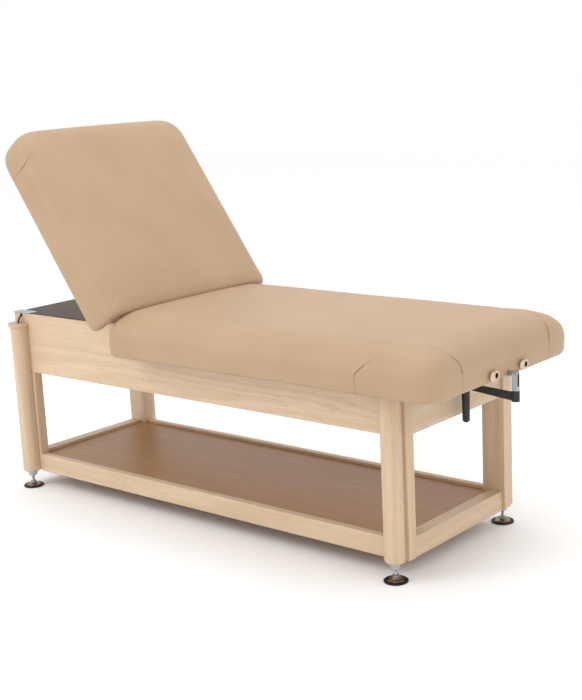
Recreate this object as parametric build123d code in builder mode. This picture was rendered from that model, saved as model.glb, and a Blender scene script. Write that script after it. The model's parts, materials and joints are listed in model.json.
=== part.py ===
"""Wooden treatment table: four hydraulic legs, a shelf, a fixed seat and a raised back."""

import os
from math import asin, cos, radians, sin

from build123d import *

os.makedirs("parts", exist_ok=True)

# Driving dimensions, in millimetres. X runs along the table towards the foot end,
# Y across it, and Z up from the floor. The origin lies on the floor under the
# middle of the whole outline, with the back raised.
base_x = -97.5  # middle of the four legs
leg_x = 816  # half distance between column axes, along the table
column_y = 293  # half distance between column axes, across it
frame_y = 278  # outer face of posts, aprons and shelf rails
frame_top = 642

post_length = 80
post_depth = 36
post_bottom = 60
edge_round = 2  # long edges of the wooden members
post_end_round = 8
rail_thickness = 24
end_rail_outer = 846  # outer face of the end rails and aprons, from the middle

column_radius = 32
column_bottom = 58
cap_bottom = 597
cap_top = 609
cap_radius = 38
cap_hole = 7
column_end_round = 10
cap_round = 2.5
cylinder_radius = 13.8
cylinder_fit = 0.2  # between the cylinder and its hole in the column
cylinder_wall = 2.2
cylinder_top = 590
gland_top = 84
nipple_radius = 5
nipple_top = 604
rod_radius = 8
rod_bottom = 40
rod_top = 400
piston_length = 8
collar_low_radius = 13
collar_high_radius = 18
running_clearance = 0.05
spindle_radius = 5
spindle_top = 70
pad_radius = 36
pad_height = 6
pad_edge = 2
pressed_radius = 23
pressed_top = 10
nut_radius = 11
nut_top = 19
hose_notch = 12
hose_radius = 3
hose_bend = 25
hose_drop = 6  # hose axis below the top of the frame
plate_length = 90
plate_width = 42
plate_corner = 6
plate_thickness = 2.6
plate_margin = 4  # overhang of the corner plates

shelf_bottom = 58
shelf_top = 122
shelf_board_top = 112
shelf_board_thickness = 12
end_shelf_rail_thickness = 43

apron_bottom = 428
board_bottom = 645
board_thickness = 12
deck_length = 360
deck_thickness = 2.7
deck_margin = 6

table_width = 778
seat_head = -241  # from the middle of the legs
seat_foot = 1029
skirt_bottom = 565
cushion_top = 694
skirt_thickness = 31
foot_foam = 26
rim_thickness = 20
rim_bottom = 567
rim_corner_run = 5  # straight length of an end rim before its corners
board_corner = 45
seat_corner = 70
seat_edge = 60
seat_head_edge = 30
back_corner = 90
back_edge = 45
back_lower_edge = 25
pocket_depth = 41  # cut in the cushion's head end around each hinge
notch_length = 13
notch_height = 28
notch_start = 350  # from the middle of the table

hinge_x = -223.2
hinge_z = 653
hinge_y = 170
barrel_radius = 8
hinge_width = 60
knuckle_half = 10.7
knuckle_gap = 0.3
leaf_thickness = 4
leaf_end = 100
leaf_recess = 1
pin_radius = 4
back_angle = 55
back_start = 33.8  # hinge axis to the lower end of the back cushion
back_length = 731
board_inset = 10  # lower end of the back cushion to the end of its board

strut_arm = 230  # hinge axis to each strut pivot, equal for both
strut_flat_angle = 62
strut_drop = 30
strut_reach = 207
strut_radius = 11
strut_wall = 2.5
strut_plug = 15  # solid length at the open end of the strut's cylinder
strut_rod_radius = 5
strut_rod_length = 217.5
eye_half = 8
eye_radius = 9
ear = 3
ear_radius = 7
bracket_thickness = 3
bracket_half = 22
bracket_rise = 30
bracket_length = 50
strut_pin_half = 14

socket_y = 80
socket_z = 588
socket_radius = 11
socket_bore = 8.2
socket_length = 130
socket_plate = (46, 28)
socket_plate_thickness = 2
socket_plate_shift = -8
socket_screw_place = -22
socket_screw_radius = 2.5
sleeve_fit = 0.1
crank_z = 578
pump_start = base_x + 890
pump_length = 75
pump_half_width = 38
pump_drop = 22
pump_edge = 10
pump_bore_start = 20
gland_radius = 14
gland_length = 8
shaft_radius = 7
shaft_gap = 2
crank_pivot_x = 1043
lug_half = 4
lug_radius = 8
lug_length = 12
fold_pin_radius = 3
fold_pin_half = 10
pin_head_radius = 5
link_bottom = 527
link_floor = 14
link_radius = 9
cheek = 3
cheek_gap = 0.3
hub_radius = 12
hub_height = 30
arm_half = 8
arm_length = 168
arm_rise = 12
grip_radius = 11
grip_flare = 1.5
grip_length = 98
grip_pin_radius = 4
grip_washer_radius = 6.5

# Derived places.
half_width = table_width / 2
board_top = board_bottom + board_thickness
head_post = base_x - leg_x
board_half_width = half_width - skirt_thickness
rail_half_length = leg_x - post_length / 2
post_inner = frame_y - post_depth
corners = {
    "head_near": (-1, -1),
    "head_far": (-1, 1),
    "foot_near": (1, -1),
    "foot_far": (1, 1),
}
long_sides = {"near": -1, "far": 1}
ends = {"head": -1, "foot": 1}


def finish(piece, name):
    """Label a finished piece and write it under its own name."""
    piece.part.label = name
    export_step(piece.part, f"parts/{name}.step")


def block(x_low, x_high, y_low, y_high, z_low, z_high, mode=Mode.ADD):
    """Box between six planes, inside the part being built."""
    with Locations(((x_low + x_high) / 2, (y_low + y_high) / 2, (z_low + z_high) / 2)):
        Box(x_high - x_low, y_high - y_low, z_high - z_low, mode=mode)


def piece_inside(whole, x_low, x_high, y_low, y_high, z_low, z_high):
    """The part of a solid inside a box."""
    with BuildPart() as piece:
        add(whole)
        block(x_low, x_high, y_low, y_high, z_low, z_high, mode=Mode.INTERSECT)
    return piece.part.solids()[0]


def finish_solids(solids, name):
    """Write several solids that meet face to face under one name."""
    joined = Compound(solids)
    joined.label = name
    export_step(joined, f"parts/{name}.step")


def rod_along(plane, radius, low, high, mode=Mode.ADD):
    """Round bar on a plane's normal, between two distances from it."""
    with BuildSketch(plane.offset(low)) as section:
        Circle(radius)
    extrude(section.sketch, amount=high - low, mode=mode)


# Legs: a square post, a half-round column in front of it with its cap, the
# hydraulic cylinder in the column, its rod and the levelling foot.
hose_z = frame_top - hose_drop
hose_routes = []
for corner, (end, side) in corners.items():
    x = base_x + end * leg_x
    y = side * column_y
    front = side * frame_y
    inner = side * post_inner
    axis = Plane((x, y, 0))

    with BuildPart() as post:
        block(
            x - post_length / 2, x + post_length / 2, min(front, inner), max(front, inner),
            post_bottom, frame_top,
        )
        fillet(post.edges().filter_by(Axis.Z), edge_round)
        fillet(post.faces().sort_by(Axis.Z)[0].edges().filter_by(GeomType.LINE), post_end_round)
        block(
            x - hose_notch / 2, x + hose_notch / 2, min(front, inner), max(front, inner),
            frame_top - hose_notch, frame_top, mode=Mode.SUBTRACT,
        )
    finish(post, f"post_{corner}")

    with BuildPart() as column:
        rod_along(axis, column_radius, column_bottom, cap_bottom)
        fillet(column.faces().sort_by(Axis.Z)[0].edges(), column_end_round)
        rod_along(axis, cap_radius, cap_bottom, cap_top)
        cap_edges = column.edges().filter_by(GeomType.CIRCLE).sort_by(SortBy.RADIUS)[-2:]
        fillet(cap_edges, cap_round)
        rod_along(
            axis, cylinder_radius + cylinder_fit, column_bottom, cylinder_top + 2, Mode.SUBTRACT
        )
        rod_along(axis, cap_hole, cylinder_top + 2, cap_top, Mode.SUBTRACT)
        block(
            x - cap_radius, x + cap_radius, min(front, inner), max(front, inner),
            column_bottom, cap_top, mode=Mode.SUBTRACT,
        )
    finish(column, f"column_{corner}")

    with BuildPart() as cylinder:
        rod_along(axis, cylinder_radius, column_bottom + 4, cylinder_top)
        rod_along(axis, nipple_radius, cylinder_top, nipple_top)
        rod_along(
            axis, cylinder_radius - cylinder_wall, gland_top, cylinder_top - 10, Mode.SUBTRACT
        )
        rod_along(axis, rod_radius + running_clearance, 0, gland_top, Mode.SUBTRACT)
    finish(cylinder, f"lift_cylinder_{corner}")

    with BuildPart() as rod:
        rod_along(axis, rod_radius, rod_bottom, rod_top)
        rod_along(
            axis, cylinder_radius - cylinder_wall - running_clearance, rod_top - piston_length,
            rod_top,
        )
        with BuildSketch(Plane((x, y, rod_bottom))):
            Circle(collar_low_radius)
        with BuildSketch(Plane((x, y, column_bottom - 0.5))):
            Circle(collar_high_radius)
        loft()
        rod_along(
            axis, spindle_radius + running_clearance, rod_bottom, spindle_top + 12, Mode.SUBTRACT
        )
    finish(rod, f"lift_rod_{corner}")

    with BuildPart() as foot:
        rod_along(axis, pad_radius, 0, pad_height)
        rod_along(axis, pressed_radius, pad_height, pressed_top)
        with BuildSketch(Plane((x, y, pressed_top))):
            RegularPolygon(nut_radius, 6)
        extrude(amount=nut_top - pressed_top)
        rod_along(axis, spindle_radius, nut_top, spindle_top)
        pad_edges = foot.edges().filter_by(GeomType.CIRCLE).sort_by(SortBy.RADIUS)
        fillet(pad_edges[-1], pad_edge)
    finish(foot, f"levelling_foot_{corner}")

    hose_routes.append((x, y, side))

# Hoses, one to a leg: up out of the cap, over a bend and through the notch in the post.
print("hose bend radius", hose_bend, "mm")
with BuildPart() as hoses:
    for x, y, side in hose_routes:
        with BuildLine() as route:
            rise = Line((x, y, nipple_top), (x, y, hose_z - hose_bend))
            bend = TangentArc(rise @ 1, (x, y - side * hose_bend, hose_z), tangent=rise % 1)
            Line(bend @ 1, (x, side * (post_inner - hose_drop), hose_z))
        with BuildSketch(Plane((x, y, nipple_top))) as hose_section:
            Circle(hose_radius)
        sweep(hose_section.sketch, path=route.line)
finish(hoses, "hoses")

# Zinc plates over the corners of the frame.
with BuildPart() as corner_plates:
    for end, side in corners.values():
        x = base_x + end * (leg_x + (post_length - plate_length) / 2 + plate_margin)
        y = side * (frame_y + plate_margin - plate_width / 2)
        with BuildSketch(Plane((x, y, frame_top))):
            RectangleRounded(plate_length, plate_width, plate_corner)
        extrude(amount=plate_thickness)
finish(corner_plates, "corner_plates")

# Lower shelf: four rails and a board set down inside them.
for name, side in long_sides.items():
    with BuildPart() as shelf_rail:
        outer = side * frame_y
        inner = side * (frame_y - rail_thickness)
        block(
            base_x - rail_half_length, base_x + rail_half_length, min(outer, inner),
            max(outer, inner), shelf_bottom, shelf_top,
        )
        fillet(shelf_rail.edges().filter_by(Axis.X), edge_round)
    finish(shelf_rail, f"shelf_rail_{name}")

    with BuildPart() as apron:
        block(
            base_x - rail_half_length, base_x + rail_half_length, min(outer, inner),
            max(outer, inner), apron_bottom, frame_top,
        )
        fillet(apron.edges().filter_by(Axis.X), edge_round)
    finish(apron, f"apron_{name}")

for name, end in ends.items():
    outer = base_x + end * end_rail_outer
    shelf_inner = outer - end * end_shelf_rail_thickness
    apron_inner = outer - end * rail_thickness
    with BuildPart() as end_shelf_rail:
        block(
            min(outer, shelf_inner), max(outer, shelf_inner), -post_inner, post_inner,
            shelf_bottom, shelf_top,
        )
        fillet(end_shelf_rail.edges().filter_by(Axis.Y), edge_round)
    finish(end_shelf_rail, f"shelf_rail_{name}")

    with BuildPart() as end_apron:
        block(
            min(outer, apron_inner), max(outer, apron_inner), -post_inner, post_inner,
            apron_bottom, frame_top,
        )
        fillet(end_apron.edges().filter_by(Axis.Y), edge_round)
    finish(end_apron, f"apron_{name}")

shelf_half_length = end_rail_outer - end_shelf_rail_thickness
rail_inner_y = frame_y - rail_thickness
with BuildPart() as shelf_board:
    block(
        base_x - shelf_half_length, base_x + shelf_half_length, -rail_inner_y, rail_inner_y,
        shelf_board_top - shelf_board_thickness, shelf_board_top,
    )
    for end, side in corners.values():
        post_middle = side * (post_inner + post_depth / 2)
        with Locations((base_x + end * leg_x, post_middle, shelf_board_top)):
            Box(post_length, post_depth, 60, mode=Mode.SUBTRACT)
finish(shelf_board, "shelf_board")

# Thin deck over the head end of the frame, and the cross rails inside it.
deck_head = base_x - end_rail_outer + plate_margin
deck_half = frame_y - deck_margin
with BuildPart() as deck:
    block(
        deck_head, deck_head + deck_length, -deck_half, deck_half, frame_top,
        frame_top + deck_thickness,
    )
    for side in long_sides.values():
        y_low, y_high = sorted((side * (frame_y + plate_margin - plate_width - 2), side * frame_y))
        block(
            deck_head, head_post + post_length / 2 + deck_margin, y_low, y_high, frame_top,
            frame_top + deck_thickness, mode=Mode.SUBTRACT,
        )
finish(deck, "deck_board")

# Each cross rail's head face from the middle of the legs, its bottom and its top.
cross_rails = {
    "cross_rail_deck": (-514, 560, frame_top),
    "cross_rail_strut": (-287, 430, 520),
    "cross_rail_seat_head": (-200, 560, board_bottom),
    "cross_rail_seat_foot": (560, 560, board_bottom),
}
for name, (start, low, high) in cross_rails.items():
    with BuildPart() as cross_rail:
        block(
            base_x + start, base_x + start + rail_thickness, -rail_inner_y, rail_inner_y, low, high
        )
    finish(cross_rail, name)

# Seat: a board on the frame, a rim under its edge and the cushion over both.
board_foot = base_x + seat_foot - foot_foam
hinge_place = base_x + hinge_x
seat_board_head = hinge_place + 18
rim_inner = board_half_width - rim_thickness
seat_start = base_x + seat_head
seat_end = base_x + seat_foot
socket_axes = [
    Plane((seat_end, y, socket_z), x_dir=(0, 1, 0), z_dir=(1, 0, 0)) for y in (-socket_y, socket_y)
]
shaft_axis = Plane((seat_end, 0, crank_z), x_dir=(0, 1, 0), z_dir=(1, 0, 0))

with BuildPart() as seat_board:
    block(
        seat_board_head, board_foot, -board_half_width, board_half_width, board_bottom, board_top
    )
    fillet(seat_board.edges().filter_by(Axis.Z).group_by(Axis.X)[-1], board_corner)
finish(seat_board, "seat_board")

rim_turn = board_foot - board_corner - rim_corner_run
for name, side in long_sides.items():
    y_low, y_high = sorted((side * rim_inner, side * board_half_width))
    with BuildPart() as seat_rim:
        block(seat_board_head, rim_turn, y_low, y_high, rim_bottom, board_bottom)
    finish(seat_rim, f"seat_rim_{name}")

with BuildPart() as foot_hollow:
    block(rim_turn, board_foot - rim_thickness, -rim_inner, rim_inner, rim_bottom, board_bottom)
    fillet(
        foot_hollow.edges().filter_by(Axis.Z).group_by(Axis.X)[-1], board_corner - rim_thickness
    )

with BuildPart() as foot_rim:
    block(rim_turn, board_foot, -board_half_width, board_half_width, rim_bottom, board_bottom)
    fillet(foot_rim.edges().filter_by(Axis.Z).group_by(Axis.X)[-1], board_corner)
    add(foot_hollow.part, mode=Mode.SUBTRACT)
    for socket_axis in socket_axes:
        rod_along(socket_axis, socket_radius + sleeve_fit, -60, 0, Mode.SUBTRACT)
    rod_along(shaft_axis, shaft_radius + shaft_gap, -60, 0, Mode.SUBTRACT)

turn_y = board_half_width - board_corner - rim_corner_run  # where the end's corners begin
finish_solids(
    [
        piece_inside(foot_rim.part, rim_turn, board_foot, y_low, y_high, rim_bottom, board_bottom)
        for y_low, y_high in (
            (-turn_y, turn_y), (-board_half_width, -turn_y), (turn_y, board_half_width)
        )
    ],
    "seat_rim_foot",
)

hinge_pocket = hinge_width / 2 + 6
leaf_half = hinge_width / 2 + leaf_recess
with BuildPart() as seat_hollow:
    block(
        seat_start - 10, board_foot, -board_half_width, board_half_width, skirt_bottom, board_top
    )
    fillet(seat_hollow.edges().filter_by(Axis.Z).group_by(Axis.X)[-1], board_corner)

with BuildPart() as seat_cushion:
    block(seat_start, seat_end, -half_width, half_width, skirt_bottom, cushion_top)
    fillet(seat_cushion.edges().filter_by(Axis.Z).group_by(Axis.X)[-1], seat_corner)
    top_edges = seat_cushion.faces().sort_by(Axis.Z)[-1].edges()
    fillet(top_edges.sort_by(Axis.X)[1:], seat_edge)
    head_edge = seat_cushion.faces().sort_by(Axis.X)[0].edges().sort_by(Axis.Z)[-1]
    fillet(head_edge, seat_head_edge)
    add(seat_hollow.part, mode=Mode.SUBTRACT)
    for side in long_sides.values():
        y = side * hinge_y
        block(
            seat_start, seat_start + pocket_depth, y - hinge_pocket, y + hinge_pocket,
            board_top, cushion_top, mode=Mode.SUBTRACT,
        )
        block(
            seat_start, hinge_place + leaf_end, y - leaf_half, y + leaf_half,
            board_top, board_top + leaf_thickness, mode=Mode.SUBTRACT,
        )
    for socket_axis in socket_axes:
        rod_along(socket_axis, socket_radius + sleeve_fit, -60, 0, Mode.SUBTRACT)
    rod_along(shaft_axis, shaft_radius + shaft_gap, -60, 0, Mode.SUBTRACT)
    for side in long_sides.values():
        y_low, y_high = sorted((side * notch_start, side * half_width))
        block(
            seat_start, seat_start + notch_length, y_low, y_high,
            skirt_bottom, skirt_bottom + notch_height, mode=Mode.SUBTRACT,
        )

# The cushion's skirt below the board is in straight pieces, with a corner piece between each.
cushion_slab = piece_inside(
    seat_cushion.part, seat_start, seat_end, -half_width, half_width, board_top, cushion_top
)
finish_solids([cushion_slab], "seat_cushion")
skirt = [
    piece_inside(
        seat_cushion.part, x_low, x_high, y_low, y_high, skirt_bottom, board_top
    )
    for x_low, x_high, y_low, y_high in (
        (rim_turn, seat_end, -turn_y, turn_y),
        (rim_turn, seat_end, -half_width, -turn_y),
        (rim_turn, seat_end, turn_y, half_width),
        (seat_start, rim_turn, -half_width, -turn_y),
        (seat_start, rim_turn, turn_y, half_width),
    )
]
finish_solids(skirt, "seat_skirt")

# Headrest sockets: a tube through the rim and an oval plate on the cushion's end.
for (name, side), socket_axis in zip(long_sides.items(), socket_axes):
    with BuildPart() as socket:
        rod_along(socket_axis, socket_radius, -socket_length, 0)
        with BuildSketch(socket_axis) as plate:
            with Locations((socket_plate_shift, 0)):
                SlotOverall(*socket_plate)
            with Locations((socket_screw_place, 0)):
                Circle(socket_screw_radius, mode=Mode.SUBTRACT)
        extrude(plate.sketch, amount=socket_plate_thickness)
        rod_along(
            socket_axis, socket_bore, -socket_length, socket_plate_thickness, Mode.SUBTRACT
        )
    finish(socket, f"headrest_socket_{name}")

# Hydraulic pump under the seat, its shaft and the folding crank.
with BuildPart() as pump:
    block(
        pump_start, pump_start + pump_length, -pump_half_width, pump_half_width,
        crank_z - pump_drop, board_bottom,
    )
    fillet(pump.edges().filter_by(Axis.X).group_by(Axis.Z)[0], pump_edge)
    pump_face = Plane((pump_start + pump_length, 0, crank_z), z_dir=(1, 0, 0))
    rod_along(pump_face, gland_radius, 0, gland_length)
    pump_bore = Plane((pump_start + pump_bore_start, 0, crank_z), z_dir=(1, 0, 0))
    rod_along(pump_bore, shaft_radius + running_clearance, 0, pump_length, Mode.SUBTRACT)
finish(pump, "hydraulic_pump")

crank_pivot = base_x + crank_pivot_x
shaft_end = crank_pivot - lug_length
fold_axis = Plane((crank_pivot, 0, crank_z), x_dir=(1, 0, 0), z_dir=(0, -1, 0))
with BuildPart() as crank_shaft:
    rod_along(pump_bore, shaft_radius, 1, shaft_end - pump_bore.origin.X)
    block(
        shaft_end, crank_pivot, -lug_half, lug_half, crank_z - lug_radius, crank_z + lug_radius
    )
    rod_along(fold_axis, lug_radius, -lug_half, lug_half)
    rod_along(
        fold_axis, fold_pin_radius + running_clearance, -fold_pin_half, fold_pin_half,
        Mode.SUBTRACT,
    )
finish(crank_shaft, "crank_shaft")

cheek_inner = lug_half + cheek_gap
cheek_outer = cheek_inner + cheek
with BuildPart() as crank_link:
    for side in long_sides.values():
        y_low, y_high = sorted((side * cheek_inner, side * cheek_outer))
        block(
            crank_pivot - link_radius, crank_pivot + link_radius, y_low, y_high,
            link_bottom, crank_z,
        )
        rod_along(fold_axis, link_radius, y_low, y_high)
    block(
        crank_pivot - link_radius, crank_pivot + link_radius, -cheek_outer, cheek_outer,
        link_bottom, link_bottom + link_floor,
    )
    rod_along(fold_axis, fold_pin_radius, -fold_pin_half, fold_pin_half)
    rod_along(fold_axis, pin_head_radius, cheek_outer, fold_pin_half)
    rod_along(fold_axis, pin_head_radius, -fold_pin_half, -cheek_outer)
finish(crank_link, "crank_link")

hub_bottom = link_bottom - hub_height
grip_x = crank_pivot - arm_length
arm_end_z = hub_bottom + hub_height / 2 + arm_rise
grip_top = arm_end_z - 10
grip_bottom = grip_top - grip_length
grip_axis = Plane((grip_x, 0, 0))
with BuildPart() as crank_arm:
    rod_along(Plane((crank_pivot, 0, 0)), hub_radius, hub_bottom, link_bottom)
    with BuildSketch(Plane.XZ.offset(arm_half)) as arm:
        with BuildLine():
            Polyline(
                (crank_pivot, link_bottom - 6),
                (grip_x - 9, arm_end_z + 6),
                (grip_x - 9, arm_end_z - 8),
                (crank_pivot, hub_bottom + 2),
                close=True,
            )
        make_face()
    extrude(arm.sketch, amount=-2 * arm_half)
    rod_along(grip_axis, grip_pin_radius, grip_bottom - 4, grip_top + 10)
    rod_along(grip_axis, grip_washer_radius, grip_bottom - 4, grip_bottom - 1)
finish(crank_arm, "crank_arm")

with BuildPart() as crank_grip:
    with BuildSketch(grip_axis.offset(grip_bottom)):
        Circle(grip_radius)
    with BuildSketch(grip_axis.offset(grip_top - 1)):
        Circle(grip_radius + grip_flare)
    loft()
    rod_along(
        grip_axis, grip_pin_radius + running_clearance, grip_bottom, grip_top, Mode.SUBTRACT
    )
finish(crank_grip, "crank_grip")

# The back, drawn on a plane through the hinge axis: x runs up the back, z out of it.
lean = radians(back_angle)
back_plane = Plane(
    (hinge_place, 0, hinge_z), x_dir=(-cos(lean), 0, sin(lean)), z_dir=(sin(lean), 0, cos(lean))
)
back_bottom = skirt_bottom - hinge_z
back_front = cushion_top - hinge_z
back_board_bottom = board_bottom - hinge_z
back_board_front = board_top - hinge_z
back_end = back_start + back_length
back_board_end = back_end - foot_foam
back_board_corner = back_corner - foot_foam


def back_slab(start, end, half_y, low, high, corner, mode=Mode.ADD):
    """Slab on the back's plane with its two upper corners rounded."""
    with BuildSketch(back_plane.offset(low)) as outline:
        with BuildLine():
            Polyline(
                (start, half_y), (start, -half_y), (end, -half_y), (end, half_y), close=True
            )
        make_face()
        fillet(outline.vertices().group_by(Axis.X)[-1], corner)
    extrude(outline.sketch, amount=high - low, mode=mode)


back_board_start = back_start + board_inset
with BuildPart() as back_board:
    back_slab(
        back_board_start, back_board_end, board_half_width, back_board_bottom, back_board_front,
        back_board_corner,
    )
finish(back_board, "back_board")

back_rim_bottom = back_board_bottom + rim_bottom - board_bottom
back_turn = back_board_end - back_board_corner - rim_corner_run
for name, side in long_sides.items():
    with BuildPart() as back_rim:
        with BuildSketch(back_plane.offset(back_rim_bottom)) as strip:
            with Locations(
                ((back_board_start + back_turn) / 2, side * (rim_inner + rim_thickness / 2))
            ):
                Rectangle(back_turn - back_board_start, rim_thickness)
        extrude(strip.sketch, amount=back_board_bottom - back_rim_bottom)
    finish(back_rim, f"back_rim_{name}")

with BuildPart() as head_rim:
    back_slab(
        back_turn, back_board_end, board_half_width, back_rim_bottom, back_board_bottom,
        back_board_corner,
    )
    back_slab(
        back_turn, back_board_end - rim_thickness, rim_inner, back_rim_bottom,
        back_board_bottom, back_board_corner - rim_thickness, Mode.SUBTRACT,
    )
finish(head_rim, "back_rim_head")

with BuildPart() as back_blank:
    back_slab(back_start, back_end, half_width, back_bottom, back_front, back_corner)
    front_edges = back_blank.faces().sort_by(Axis(back_plane.origin, back_plane.z_dir))[-1].edges()
    fillet(front_edges.sort_by(Axis.Z)[1:], back_edge)
    lower_face = back_blank.faces().sort_by(Axis(back_plane.origin, back_plane.x_dir))[0]
    level_edges = lower_face.edges().filter_by(Axis.Y)
    fillet(level_edges.sort_by(Axis(back_plane.origin, back_plane.z_dir))[-1], back_lower_edge)

with BuildPart() as back_cushion:
    add(back_blank.part)
    back_slab(
        back_start - 1, back_board_end, board_half_width, back_bottom, back_board_front,
        back_board_corner, Mode.SUBTRACT,
    )
    for side in long_sides.values():
        with BuildSketch(back_plane.offset(back_board_front)) as pocket:
            with Locations((leaf_end / 2, side * hinge_y)):
                Rectangle(leaf_end, 2 * leaf_half)
        extrude(pocket.sketch, amount=leaf_thickness, mode=Mode.SUBTRACT)
finish(back_cushion, "back_cushion")

# Butt hinges between the boards: a fixed leaf with its pin, and a leaf on the back.
hinge_origin = Vector(hinge_place, 0, hinge_z)
seat_plane = Plane(hinge_origin, x_dir=(1, 0, 0), z_dir=(0, 0, 1))
leaf_start = barrel_radius + 1


def leaf_plate(plane, start, end, y_low, y_high):
    """Flat of a hinge leaf, lying level with the top of the barrel."""
    with BuildSketch(plane.offset(barrel_radius - leaf_thickness)) as flat:
        with Locations(((start + end) / 2, (y_low + y_high) / 2)):
            Rectangle(end - start, y_high - y_low)
    extrude(flat.sketch, amount=leaf_thickness)


def knuckle(y_low, y_high, bore):
    """Round knuckle of a hinge around its axis."""
    axis = Plane((hinge_place, y_high, hinge_z), x_dir=(1, 0, 0), z_dir=(0, -1, 0))
    rod_along(axis, barrel_radius, 0, y_high - y_low)
    rod_along(axis, bore, 0, y_high - y_low, Mode.SUBTRACT)


with BuildPart() as seat_leaf:
    for side in long_sides.values():
        y = side * hinge_y
        leaf_plate(seat_plane, leaf_start, leaf_end, y - hinge_width / 2, y + hinge_width / 2)
        leaf_plate(seat_plane, 0, leaf_start, y - knuckle_half, y + knuckle_half)
        knuckle(y - knuckle_half, y + knuckle_half, pin_radius - 1)
        pin = Plane((hinge_place, y + hinge_width / 2, hinge_z), z_dir=(0, -1, 0))
        rod_along(pin, pin_radius, 0, hinge_width)
finish(seat_leaf, "hinge_leaf_seat")

with BuildPart() as back_leaf:
    for side in long_sides.values():
        y = side * hinge_y
        leaf_plate(back_plane, leaf_start, leaf_end, y - hinge_width / 2, y + hinge_width / 2)
        for end in ends.values():
            y_low, y_high = sorted(
                (y + end * (knuckle_half + knuckle_gap), y + end * hinge_width / 2)
            )
            leaf_plate(back_plane, 0, leaf_start, y_low, y_high)
            knuckle(y_low, y_high, pin_radius + running_clearance)
finish(back_leaf, "hinge_leaf_back")

# Gas spring under the back. Its two pivots are equally far from the hinge axis, so
# cylinder and rod each turn by half of the back's angle and stay in line.
drop_angle = asin(strut_drop / strut_arm)
low_angle = radians(180 + strut_flat_angle) + drop_angle
strut_low = hinge_origin + Vector(cos(low_angle), 0, sin(low_angle)) * strut_arm
strut_high = back_plane.from_local_coords(Vector(strut_arm * cos(drop_angle), 0, -strut_drop))
strut_line = (strut_high - strut_low).normalized()
cylinder_axis = Plane(strut_low, x_dir=(0, 1, 0), z_dir=strut_line)
piston_axis = Plane(strut_high, x_dir=(0, 1, 0), z_dir=strut_line * -1)
ear_inner = eye_half + 0.4


def cross_axis(centre):
    """Plane whose normal runs across the table, at a pivot."""
    return Plane(centre, x_dir=(1, 0, 0), z_dir=(0, 1, 0))


def eye(centre, radius, bore):
    """Round eye across the table, around a pivot."""
    rod_along(cross_axis(centre), radius, -eye_half, eye_half)
    rod_along(cross_axis(centre), bore, -eye_half, eye_half, Mode.SUBTRACT)


with BuildPart() as strut_cylinder:
    rod_along(cylinder_axis, strut_radius, 12, strut_reach)
    rod_along(
        cylinder_axis, strut_radius - strut_wall, 18, strut_reach - strut_plug, Mode.SUBTRACT
    )
    rod_along(
        cylinder_axis, strut_rod_radius + running_clearance, 18, strut_reach, Mode.SUBTRACT
    )
    rod_along(cylinder_axis, eye_radius - 3, eye_radius - 2, 13)
    eye(strut_low, eye_radius, pin_radius + running_clearance)
finish(strut_cylinder, "strut_cylinder")

with BuildPart() as strut_rod:
    rod_along(piston_axis, strut_rod_radius, 6, strut_rod_length)
    rod_along(
        piston_axis, strut_radius - strut_wall - 2 * running_clearance, strut_rod_length - 6,
        strut_rod_length,
    )
    eye(strut_high, eye_radius - 1, pin_radius + running_clearance)
finish(strut_rod, "strut_rod")

rail_face = base_x + cross_rails["cross_rail_strut"][0]
bracket_face = rail_face - bracket_thickness
with BuildPart() as lower_bracket:
    block(
        bracket_face, rail_face, -bracket_half, bracket_half, strut_low.Z - ear_radius,
        strut_low.Z + bracket_rise,
    )
    for side in long_sides.values():
        y_low, y_high = sorted((side * ear_inner, side * (ear_inner + ear)))
        block(
            strut_low.X, bracket_face, y_low, y_high, strut_low.Z - ear_radius,
            strut_low.Z + ear_radius,
        )
        rod_along(cross_axis(strut_low), ear_radius, y_low, y_high)
    rod_along(cross_axis(strut_low), pin_radius, -strut_pin_half, strut_pin_half)
finish(lower_bracket, "strut_bracket_lower")

high_local = back_plane.to_local_coords(strut_high)
plate_low = back_board_bottom - bracket_thickness
with BuildPart() as upper_bracket:
    with BuildSketch(back_plane.offset(plate_low)) as foot_plate:
        with Locations((high_local.X, 0)):
            Rectangle(bracket_length, 2 * bracket_half)
    extrude(foot_plate.sketch, amount=bracket_thickness)
    for side in long_sides.values():
        y_low, y_high = sorted((side * ear_inner, side * (ear_inner + ear)))
        ear_plane = Plane(
            back_plane.origin + Vector(0, y_low, 0), x_dir=back_plane.x_dir, z_dir=(0, 1, 0)
        )
        with BuildSketch(ear_plane) as ear_outline:
            with Locations((high_local.X, high_local.Z)):
                Circle(ear_radius)
            with Locations((high_local.X, (high_local.Z + plate_low) / 2)):
                Rectangle(2 * ear_radius, plate_low - high_local.Z)
        extrude(ear_outline.sketch, amount=ear)
    rod_along(cross_axis(strut_high), pin_radius, -strut_pin_half, strut_pin_half)
finish(upper_bracket, "strut_bracket_upper")
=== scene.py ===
# Treatment table with a raised back: the looks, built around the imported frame.
import json
import math

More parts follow.
